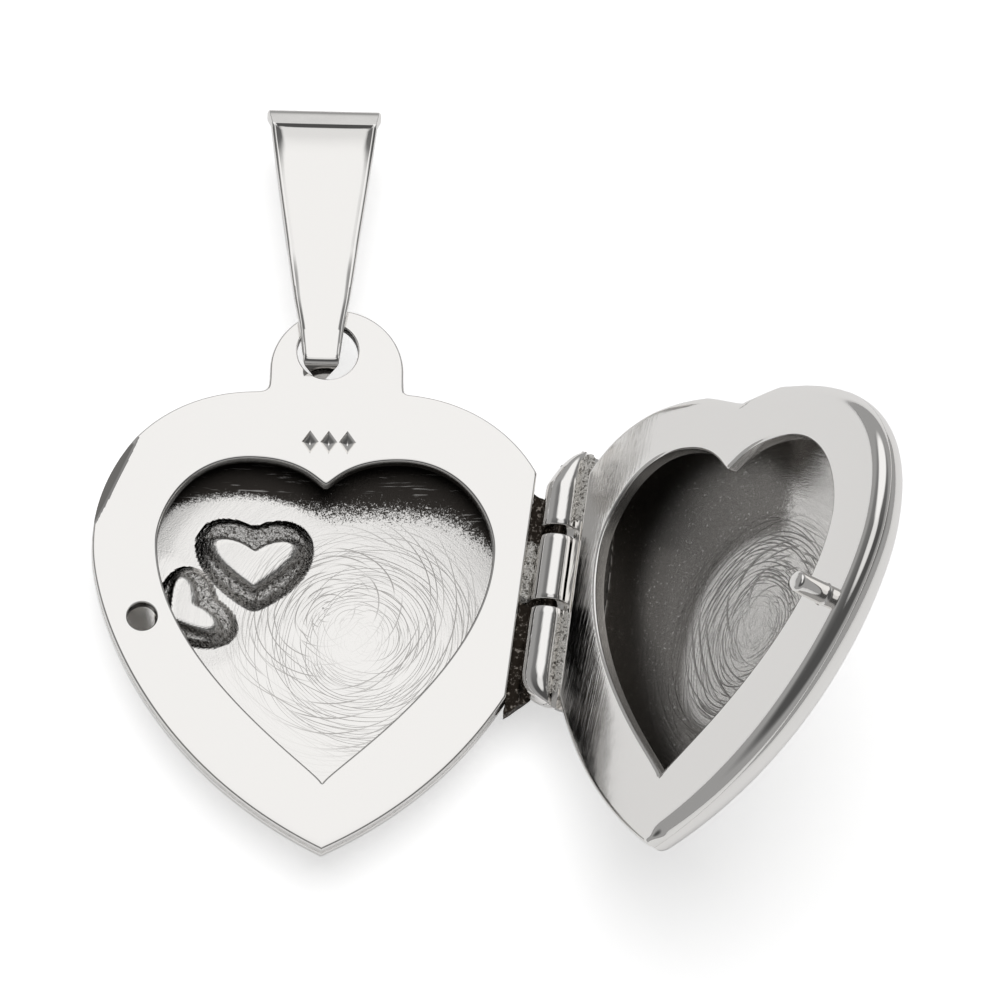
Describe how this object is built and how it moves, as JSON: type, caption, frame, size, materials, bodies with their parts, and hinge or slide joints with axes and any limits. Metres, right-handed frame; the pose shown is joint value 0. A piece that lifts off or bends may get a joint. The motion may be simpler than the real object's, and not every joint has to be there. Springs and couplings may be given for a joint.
{
  "type": "heart locket",
  "caption": "Hinged heart locket of polished silver, open, with heart windows, a catch post and a tapered bail for a chain.",
  "frame": {"origin": "middle of the bounding box, on the ground under the front half's dome", "axes": "+Z is the normal of the front half's flat frame and points up, +Y from the heart to the bail, +X from the front half to the opened back half"},
  "size_m": [0.0347, 0.0375, 0.019],
  "materials": {
    "polished_silver": "bright polished sterling silver with fine swirl and brush scratches",
    "aged_silver": "darker unpolished sterling silver",
    "solder": "rough grainy silver solder"
  },
  "bodies": {
    "front": {"front_shell": "polished_silver", "front_frame": "polished_silver", "front_hinge_bearer": "aged_silver", "front_knuckle": "polished_silver", "front_hinge_solder": "solder"},
    "back": {"back_shell": "polished_silver", "back_frame": "polished_silver", "back_hinge_bearer": "aged_silver", "back_knuckle_top": "polished_silver", "back_knuckle_bottom": "polished_silver", "back_hinge_solder": "solder", "hinge_pin": "aged_silver", "catch_post": "polished_silver"},
    "bail": {"bail": "polished_silver"}
  },
  "joints": [
    {"name": "cover_hinge", "type": "hinge", "parent": "front", "child": "back", "pos_m": [0.00323, -0.00442, 0.0031], "axis": [0.1271, 0.9919, 0], "range_deg": [-129.5, 40]},
    {"name": "bail_swing", "type": "hinge", "parent": "front", "child": "bail", "pos_m": [-0.00718, 0.00833, 0.0028], "axis": [1, 0, 0], "range_deg": [-30, 45]}
  ]
}
